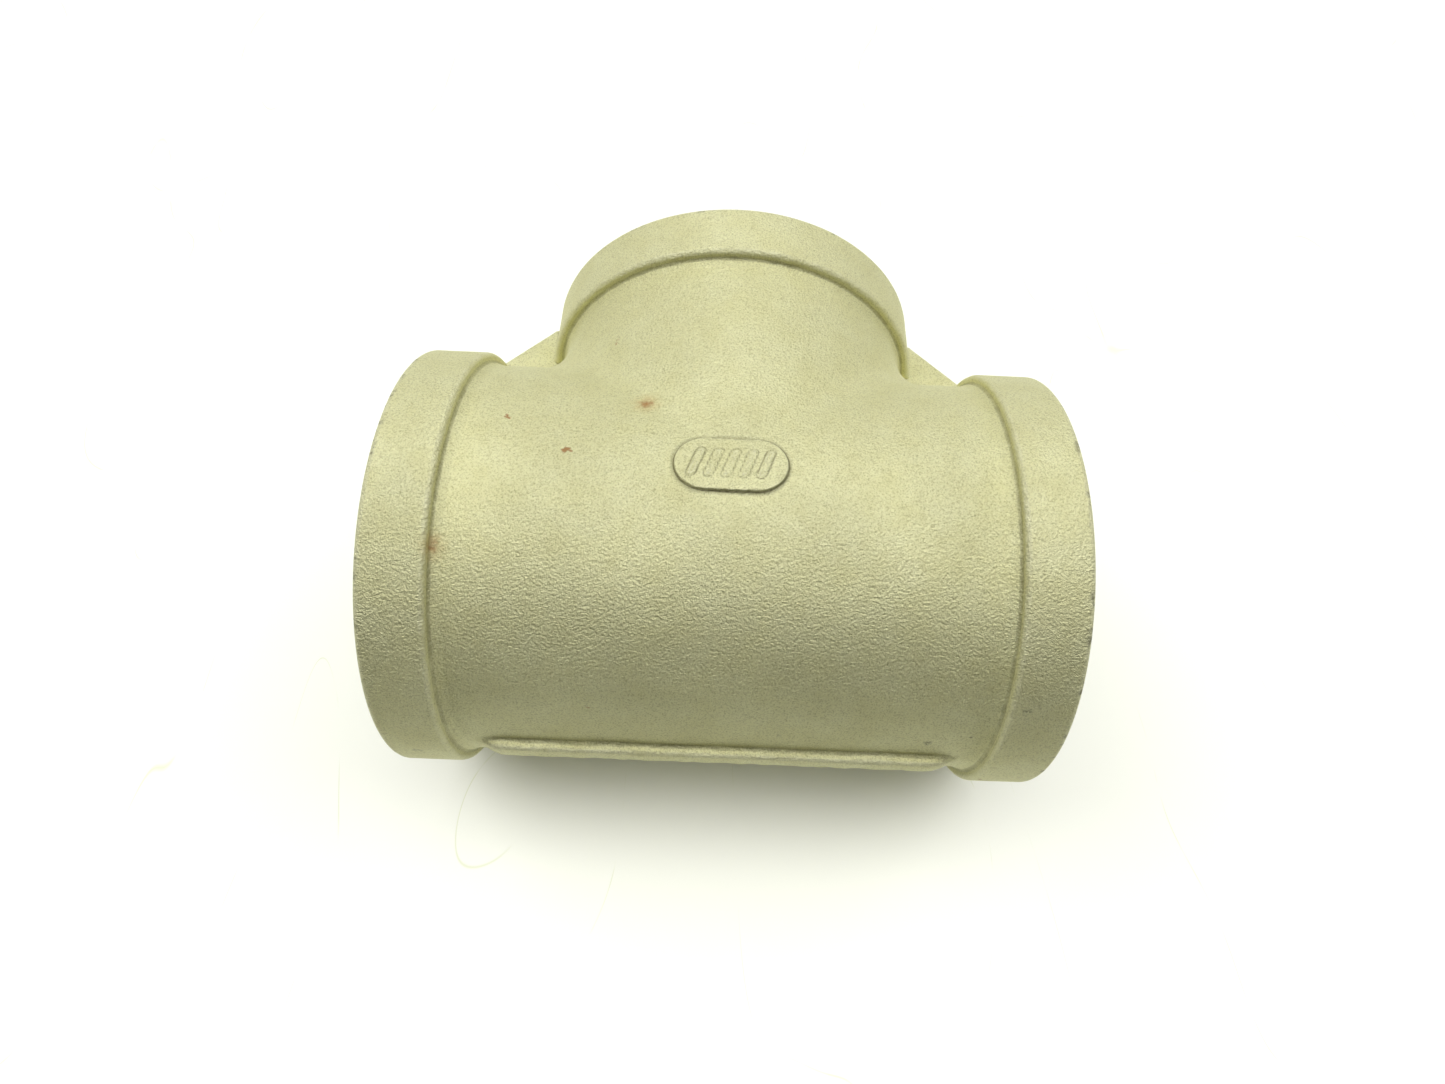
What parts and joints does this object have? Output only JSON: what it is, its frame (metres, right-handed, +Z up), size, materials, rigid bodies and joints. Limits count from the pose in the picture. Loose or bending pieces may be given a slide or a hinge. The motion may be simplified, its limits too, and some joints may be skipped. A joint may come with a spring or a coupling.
{
  "type": "pipe tee",
  "caption": "Cast stainless steel pipe tee with equal internally threaded mouths, banded ends, flat corner webs and a rib along the back of the run.",
  "frame": {"origin": "bottom centre of the tee's bounding box, on the floor that it lies on", "axes": "+X along the run, +Y along the branch out of its mouth, +Z up with both pipe axes level at z = 66.2 mm"},
  "size_m": [0.1926, 0.1624, 0.1324],
  "materials": {
    "cast_stainless": "as cast and blasted, matte",
    "machined_stainless": "machined, fine turning marks"
  },
  "bodies": {
    "root": {"tee_casting": "cast_stainless", "run_thread_left": "machined_stainless", "run_thread_right": "machined_stainless", "branch_thread": "machined_stainless"}
  },
  "joints": []
}
